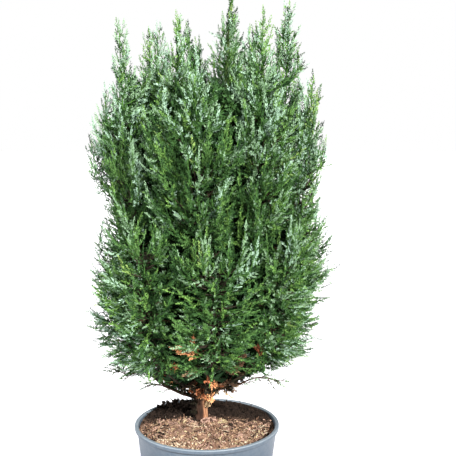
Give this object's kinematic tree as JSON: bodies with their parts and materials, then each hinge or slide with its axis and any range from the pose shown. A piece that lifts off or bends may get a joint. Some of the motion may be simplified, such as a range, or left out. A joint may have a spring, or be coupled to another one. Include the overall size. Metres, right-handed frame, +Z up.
{
  "type": "potted ellwoodii lawson cypress",
  "caption": "Dense columnar dwarf conifer with steep feathery spires on one short trunk, in a round plastic nursery pot of bark compost.",
  "frame": {"origin": "centre of the pot's flat underside", "axes": "+Z up along the plant, -Y towards the front, +X to the right seen from the front"},
  "size_m": [0.2689, 0.2607, 0.6035],
  "materials": {
    "pot": "satin blue-grey plastic",
    "soil": "bark and peat compost",
    "bark": "red-brown fibrous bark",
    "foliage": "soft grey-green scale foliage"
  },
  "bodies": {
    "root": {"pot": "pot", "soil": "soil", "trunk": "bark", "bough_right": "bark", "bough_right_back": "bark", "bough_back_right": "bark", "bough_back": "bark", "bough_back_left": "bark", "bough_left": "bark", "bough_front_left": "bark", "bough_front": "bark", "bough_front_right": "bark", "bough_inner_left": "bark", "bough_inner_front": "bark", "bough_inner_right": "bark", "bough_inner_back": "bark", "bough_inner_back_left": "bark", "bough_low_right": "bark", "bough_low_right_back": "bark", "bough_low_back": "bark", "bough_low_back_left": "bark", "bough_low_left": "bark", "bough_low_front_left": "bark", "bough_low_front": "bark", "bough_low_front_right": "bark", "foliage_right": "foliage", "foliage_right_back": "foliage", "foliage_back_right": "foliage", "foliage_back": "foliage", "foliage_back_left": "foliage", "foliage_left": "foliage", "foliage_front_left": "foliage", "foliage_front": "foliage", "foliage_front_right": "foliage", "foliage_inner_left": "foliage", "foliage_inner_front": "foliage", "foliage_inner_right": "foliage", "foliage_inner_back": "foliage", "foliage_inner_back_left": "foliage", "foliage_low_right": "foliage", "foliage_low_right_back": "foliage", "foliage_low_back": "foliage", "foliage_low_back_left": "foliage", "foliage_low_left": "foliage", "foliage_low_front_left": "foliage", "foliage_low_front": "foliage", "foliage_low_front_right": "foliage", "foliage_leader": "foliage"}
  },
  "joints": []
}
